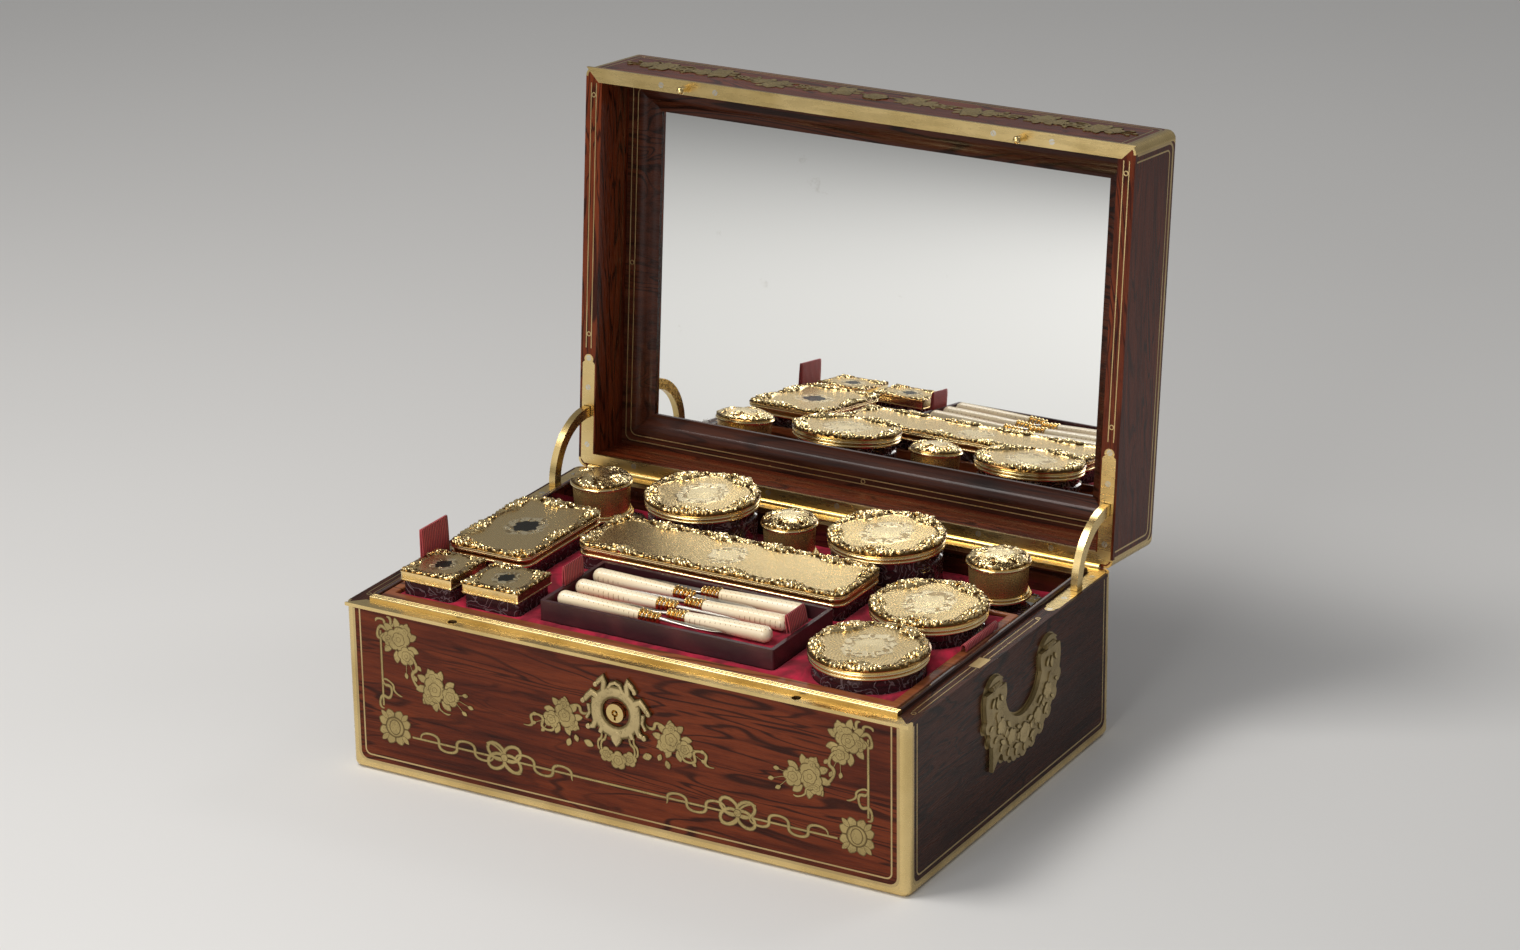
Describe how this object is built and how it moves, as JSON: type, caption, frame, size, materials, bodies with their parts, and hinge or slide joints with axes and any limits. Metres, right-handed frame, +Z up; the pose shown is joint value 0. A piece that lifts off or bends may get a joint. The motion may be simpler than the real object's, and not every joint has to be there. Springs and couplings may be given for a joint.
{
  "type": "dressing box",
  "caption": "Fitted dressing box in veneered wood and brass, its stayed lid open on a mirror, with a lift-out tray, jars, boxes, bottles and a tool tray.",
  "frame": {"origin": "middle of the underside of the case, on the surface it stands on", "axes": "+X to the right seen from the front, +Y to the back, +Z up; the lid is open at 95 degrees at rest"},
  "size_m": [0.4382, 0.3905, 0.4149],
  "materials": {
    "rosewood": "satin",
    "dark_wood": "satin",
    "mahogany": "satin",
    "brass": "polished",
    "gilt": "polished",
    "velvet": "pile",
    "ribbon": "ribbed",
    "leather": "semi-gloss",
    "crystal": "clear",
    "mirror": "polished",
    "bone": "satin",
    "steel": "satin"
  },
  "bodies": {
    "case": {"case_front": "rosewood", "case_back": "rosewood", "case_sides": "rosewood", "case_bottom": "dark_wood", "case_edging": "brass", "case_rim_strip": "brass", "dust_liners": "dark_wood", "rear_nest": "velvet", "escutcheon": "brass", "lock_plate": "brass", "hinge_case_leaves": "brass", "hinge_pin": "brass", "handle_plates": "brass"},
    "lid": {"lid_front": "rosewood", "lid_back": "rosewood", "lid_sides": "rosewood", "lid_top": "rosewood", "lid_edging": "brass", "lid_rim_strip": "brass", "hinge_lid_leaves": "brass", "mirror_frame": "rosewood", "mirror_glass": "mirror", "mirror_back": "dark_wood"},
    "stay_left": {"stay_arm_left": "brass"},
    "stay_right": {"stay_arm_right": "brass"},
    "lock_barrel": {"lock_cylinder": "brass"},
    "bolt": {"lock_bolt": "brass"},
    "bail_left": {"handle_bail_left": "brass"},
    "bail_right": {"handle_bail_right": "brass"},
    "tray": {"tray_frame": "mahogany", "tray_nest": "velvet", "tray_pulls": "ribbon"},
    "tools": {"tool_tray": "leather", "tool_tray_pad": "velvet", "tool_tray_pulls": "ribbon", "tool_handles": "bone", "tool_blades": "steel"},
    "jar_front_right": {"jar_front_right": "crystal"},
    "jar_front_right_lid": {"jar_front_right_lid": "gilt"},
    "jar_mid_right": {"jar_mid_right": "crystal"},
    "jar_mid_right_lid": {"jar_mid_right_lid": "gilt"},
    "box_side": {"box_side": "crystal"},
    "box_side_lid": {"box_side_lid": "gilt"},
    "box_long": {"box_long": "crystal"},
    "box_long_lid": {"box_long_lid": "gilt"},
    "patch_box_left": {"patch_box_left": "leather"},
    "patch_box_left_lid": {"patch_box_left_lid": "gilt"},
    "patch_box_right": {"patch_box_right": "leather"},
    "patch_box_right_lid": {"patch_box_right_lid": "gilt"},
    "rear_jar_right": {"rear_jar_right": "crystal"},
    "rear_jar_right_lid": {"rear_jar_right_lid": "gilt"},
    "rear_jar_left": {"rear_jar_left": "crystal"},
    "rear_jar_left_lid": {"rear_jar_left_lid": "gilt"},
    "bottle_left": {"bottle_left": "crystal"},
    "bottle_left_cap": {"bottle_left_cap": "gilt"},
    "bottle_middle": {"bottle_middle": "crystal"},
    "bottle_middle_cap": {"bottle_middle_cap": "gilt"},
    "bottle_right": {"bottle_right": "crystal"},
    "bottle_right_cap": {"bottle_right_cap": "gilt"}
  },
  "joints": [
    {"name": "lid_hinge", "type": "hinge", "parent": "case", "child": "lid", "pos_m": [0, 0.1475, 0.121], "axis": [-1, 0, 0], "range_deg": [-95, 0]},
    {"name": "stay_left_swing", "type": "hinge", "parent": "case", "child": "stay_left", "pos_m": [0, 0.1475, 0.121], "axis": [-1, 0, 0], "range_deg": [-47.5, 0]},
    {"name": "stay_right_swing", "type": "hinge", "parent": "case", "child": "stay_right", "pos_m": [0, 0.1475, 0.121], "axis": [-1, 0, 0], "range_deg": [-47.5, 0]},
    {"name": "lock_turn", "type": "hinge", "parent": "case", "child": "lock_barrel", "pos_m": [0, -0.1475, 0.0857], "axis": [0, 1, 0], "range_deg": [-60, 0]},
    {"name": "bolt_slide", "type": "slide", "parent": "case", "child": "bolt", "axis": [1, 0, 0], "range_m": [-0.009, 0]},
    {"name": "bail_left_swing", "type": "hinge", "parent": "case", "child": "bail_left", "pos_m": [-0.2172, 0.0085, 0.104], "axis": [0, 1, 0], "range_deg": [0, 95]},
    {"name": "bail_right_swing", "type": "hinge", "parent": "case", "child": "bail_right", "pos_m": [0.2172, 0.0085, 0.104], "axis": [0, -1, 0], "range_deg": [0, 95]},
    {"name": "tray_lift", "type": "slide", "parent": "case", "child": "tray", "axis": [0, 0, 1], "range_m": [0, 0.07]},
    {"name": "tools_lift", "type": "slide", "parent": "tray", "child": "tools", "axis": [0, 0, 1], "range_m": [0, 0.04]},
    {"name": "jar_front_right_lift", "type": "slide", "parent": "tray", "child": "jar_front_right", "axis": [0, 0, 1], "range_m": [0, 0.06]},
    {"name": "jar_front_right_lid_lift", "type": "slide", "parent": "jar_front_right", "child": "jar_front_right_lid", "axis": [0, 0, 1], "range_m": [0, 0.03]},
    {"name": "jar_mid_right_lift", "type": "slide", "parent": "tray", "child": "jar_mid_right", "axis": [0, 0, 1], "range_m": [0, 0.06]},
    {"name": "jar_mid_right_lid_lift", "type": "slide", "parent": "jar_mid_right", "child": "jar_mid_right_lid", "axis": [0, 0, 1], "range_m": [0, 0.03]},
    {"name": "box_side_lift", "type": "slide", "parent": "tray", "child": "box_side", "axis": [0, 0, 1], "range_m": [0, 0.06]},
    {"name": "box_side_lid_lift", "type": "slide", "parent": "box_side", "child": "box_side_lid", "axis": [0, 0, 1], "range_m": [0, 0.03]},
    {"name": "box_long_lift", "type": "slide", "parent": "tray", "child": "box_long", "axis": [0, 0, 1], "range_m": [0, 0.06]},
    {"name": "box_long_lid_lift", "type": "slide", "parent": "box_long", "child": "box_long_lid", "axis": [0, 0, 1], "range_m": [0, 0.03]},
    {"name": "patch_box_left_lift", "type": "slide", "parent": "tray", "child": "patch_box_left", "axis": [0, 0, 1], "range_m": [0, 0.06]},
    {"name": "patch_box_left_lid_lift", "type": "slide", "parent": "patch_box_left", "child": "patch_box_left_lid", "axis": [0, 0, 1], "range_m": [0, 0.03]},
    {"name": "patch_box_right_lift", "type": "slide", "parent": "tray", "child": "patch_box_right", "axis": [0, 0, 1], "range_m": [0, 0.06]},
    {"name": "patch_box_right_lid_lift", "type": "slide", "parent": "patch_box_right", "child": "patch_box_right_lid", "axis": [0, 0, 1], "range_m": [0, 0.03]},
    {"name": "rear_jar_right_lift", "type": "slide", "parent": "case", "child": "rear_jar_right", "axis": [0, 0, 1], "range_m": [0, 0.06]},
    {"name": "rear_jar_right_lid_lift", "type": "slide", "parent": "rear_jar_right", "child": "rear_jar_right_lid", "axis": [0, 0, 1], "range_m": [0, 0.03]},
    {"name": "rear_jar_left_lift", "type": "slide", "parent": "case", "child": "rear_jar_left", "axis": [0, 0, 1], "range_m": [0, 0.06]},
    {"name": "rear_jar_left_lid_lift", "type": "slide", "parent": "rear_jar_left", "child": "rear_jar_left_lid", "axis": [0, 0, 1], "range_m": [0, 0.03]},
    {"name": "bottle_left_lift", "type": "slide", "parent": "case", "child": "bottle_left", "axis": [0, 0, 1], "range_m": [0, 0.08]},
    {"name": "bottle_left_cap_lift", "type": "slide", "parent": "bottle_left", "child": "bottle_left_cap", "axis": [0, 0, 1], "range_m": [0, 0.03]},
    {"name": "bottle_middle_lift", "type": "slide", "parent": "case", "child": "bottle_middle", "axis": [0, 0, 1], "range_m": [0, 0.08]},
    {"name": "bottle_middle_cap_lift", "type": "slide", "parent": "bottle_middle", "child": "bottle_middle_cap", "axis": [0, 0, 1], "range_m": [0, 0.03]},
    {"name": "bottle_right_lift", "type": "slide", "parent": "case", "child": "bottle_right", "axis": [0, 0, 1], "range_m": [0, 0.08]},
    {"name": "bottle_right_cap_lift", "type": "slide", "parent": "bottle_right", "child": "bottle_right_cap", "axis": [0, 0, 1], "range_m": [0, 0.03]}
  ],
  "couplings": [
    {"joint": "stay_left_swing", "follows": "lid_hinge", "ratio": 0.5},
    {"joint": "stay_right_swing", "follows": "lid_hinge", "ratio": 0.5},
    {"joint": "lock_turn", "follows": "bolt_slide", "rad_per_m": 116.3}
  ]
}
